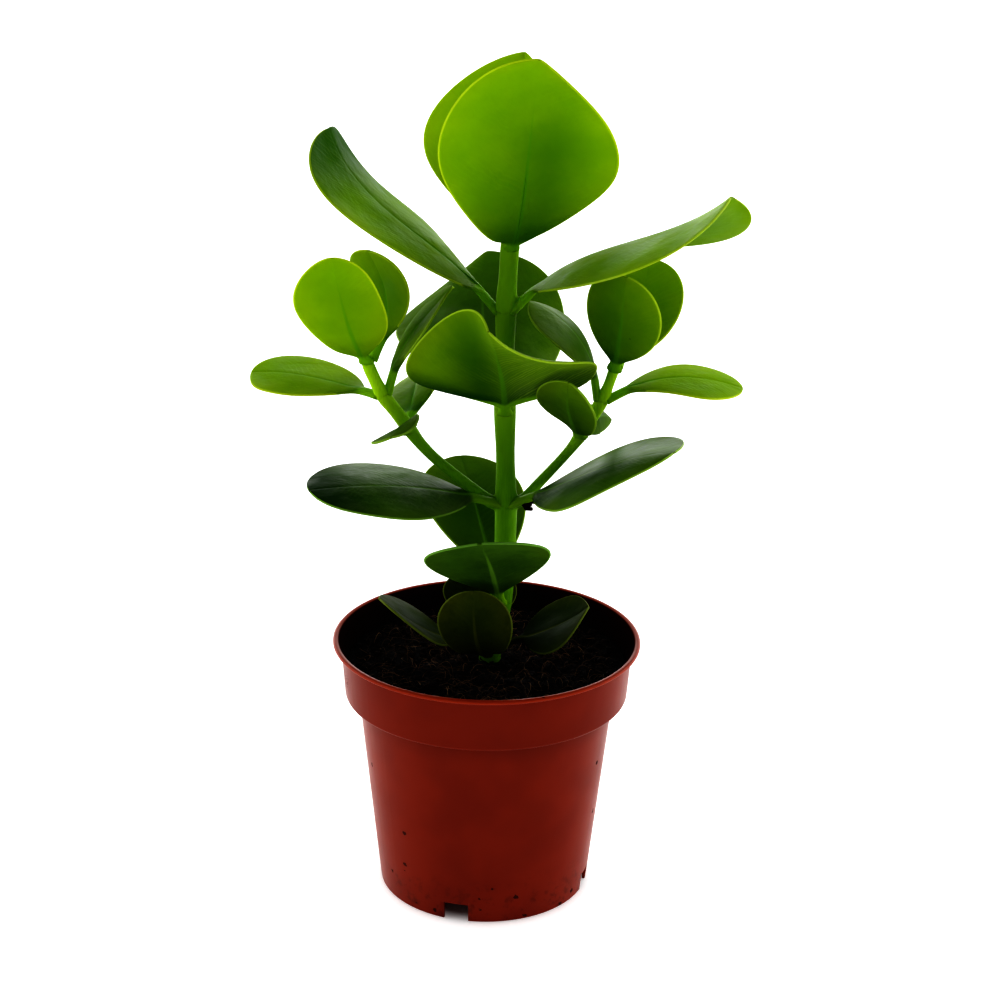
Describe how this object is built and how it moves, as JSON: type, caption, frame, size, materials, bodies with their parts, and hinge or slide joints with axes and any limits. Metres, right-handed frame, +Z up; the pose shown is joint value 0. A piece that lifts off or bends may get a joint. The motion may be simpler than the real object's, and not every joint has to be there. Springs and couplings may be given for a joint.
{
  "type": "potted clusia",
  "caption": "Young clusia with thick rounded leaves in opposite pairs on a stem and two side shoots, standing in soil in a round plastic nursery pot.",
  "frame": {"origin": "centre of the pot's foot, on the ground under the middle of the plant's spread", "axes": "+Z up along the pot's axis; +X to the right and -Y towards the front, where the pot's drain notch sits a little left of the middle"},
  "size_m": [0.1876, 0.1539, 0.3379],
  "materials": {
    "pot": "satin terracotta-coloured moulded polypropylene",
    "soil": "dark fibrous potting mix",
    "stem": "smooth green living stem",
    "leaf_mature": "thick leathery dark green leaf, satin",
    "leaf_young": "thick leathery bright green young leaf, satin"
  },
  "bodies": {
    "root": {"pot": "pot", "soil": "soil", "stem": "stem", "leaf_soil_front": "leaf_mature", "leaf_soil_back": "leaf_mature", "leaf_soil_left": "leaf_mature", "leaf_soil_right": "leaf_mature", "leaf_low_front": "leaf_mature", "leaf_low_back": "leaf_mature", "leaf_mid_left": "leaf_mature", "leaf_mid_right": "leaf_mature", "leaf_high_front": "leaf_mature", "leaf_high_back": "leaf_mature", "leaf_upper_left": "leaf_mature", "leaf_upper_right": "leaf_mature", "leaf_top_front": "leaf_young", "leaf_top_back": "leaf_young", "leaf_left_low_front": "leaf_mature", "leaf_left_low_back": "leaf_mature", "leaf_left_mid_left": "leaf_young", "leaf_left_mid_right": "leaf_young", "leaf_left_top_front": "leaf_young", "leaf_left_top_back": "leaf_young", "leaf_right_low_front": "leaf_mature", "leaf_right_low_back": "leaf_mature", "leaf_right_mid_right": "leaf_young", "leaf_right_mid_left": "leaf_young", "leaf_right_top_front": "leaf_young", "leaf_right_top_back": "leaf_young"}
  },
  "joints": []
}
